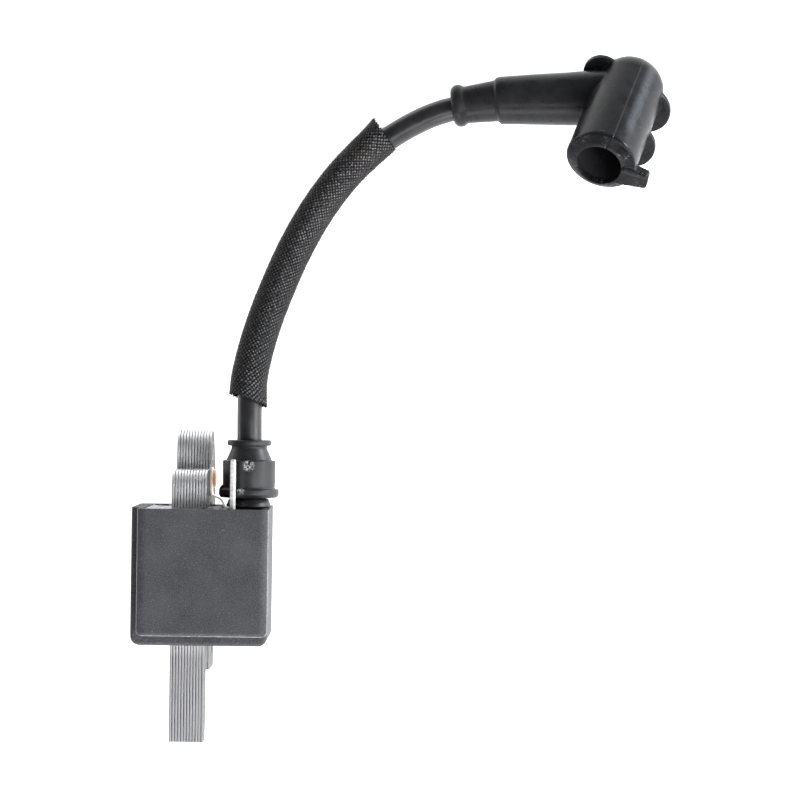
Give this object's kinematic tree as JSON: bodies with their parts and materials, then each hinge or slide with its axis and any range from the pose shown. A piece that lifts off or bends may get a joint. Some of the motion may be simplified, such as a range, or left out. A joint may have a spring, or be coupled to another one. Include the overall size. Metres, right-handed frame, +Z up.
{
  "type": "ignition coil",
  "caption": "Small-engine ignition coil: potted coil on a laminated U core, with a sleeved high-tension lead ending in an elbowed rubber plug boot.",
  "frame": {"origin": "bottom centre of the coil itself (core, case and exit boot, without the lead, sleeve and plug boot), on the bench it lies on", "axes": "+X across the core's stack of laminations, towards the exit boot; +Y along the core's legs, from the pole tips towards the bridge and the lead; +Z up from the bench to the front of the case"},
  "size_m": [0.1513, 0.197, 0.0435],
  "materials": {
    "core_steel": "bare cut edges, satin",
    "copper": "bright copper",
    "tinned_strip": "tinned, mottled",
    "case_plastic": "fine texture",
    "potting_resin": "glossy, poured",
    "bobbin_nylon": "natural",
    "enamelled_wire": "enamelled copper",
    "board": "solder resist",
    "ceramic": "fired",
    "black_epoxy": "moulded",
    "zinc_plate": "zinc plated",
    "tower_plastic": "moulded",
    "boot_rubber": "satin",
    "lead_rubber": "smooth",
    "braid": "woven",
    "spring_steel": "bright wire"
  },
  "bodies": {
    "coil": {"lamination_01": "core_steel", "lamination_02": "core_steel", "lamination_03": "core_steel", "lamination_04": "core_steel", "lamination_05": "core_steel", "lamination_06": "core_steel", "lamination_07": "core_steel", "lamination_08": "core_steel", "lamination_09": "core_steel", "lamination_10": "core_steel", "lamination_11": "core_steel", "lamination_12": "core_steel", "ground_rivet": "copper", "ground_strip": "tinned_strip", "coil_case": "case_plastic", "potting_resin": "potting_resin", "primary_bobbin": "bobbin_nylon", "primary_winding": "enamelled_wire", "secondary_bobbin": "bobbin_nylon", "secondary_winding": "enamelled_wire", "circuit_board": "board", "storage_capacitor": "ceramic", "switching_transistor": "black_epoxy", "trigger_transistor": "black_epoxy", "bias_resistor": "ceramic", "timing_resistor": "ceramic", "damping_diode": "black_epoxy", "kill_tab": "zinc_plate", "hv_tower": "tower_plastic", "hv_terminal": "zinc_plate", "exit_boot": "boot_rubber", "ht_lead": "lead_rubber", "braided_sleeve": "braid"},
    "plug": {"plug_boot": "boot_rubber", "plug_contact_spring": "spring_steel"}
  },
  "joints": [
    {"name": "boot_swivel", "type": "hinge", "parent": "coil", "child": "plug", "pos_m": [0.0683, 0.1383, 0.0076], "axis": [0.9934, 0.0594, 0.0983], "range_deg": [-45, 43]}
  ]
}
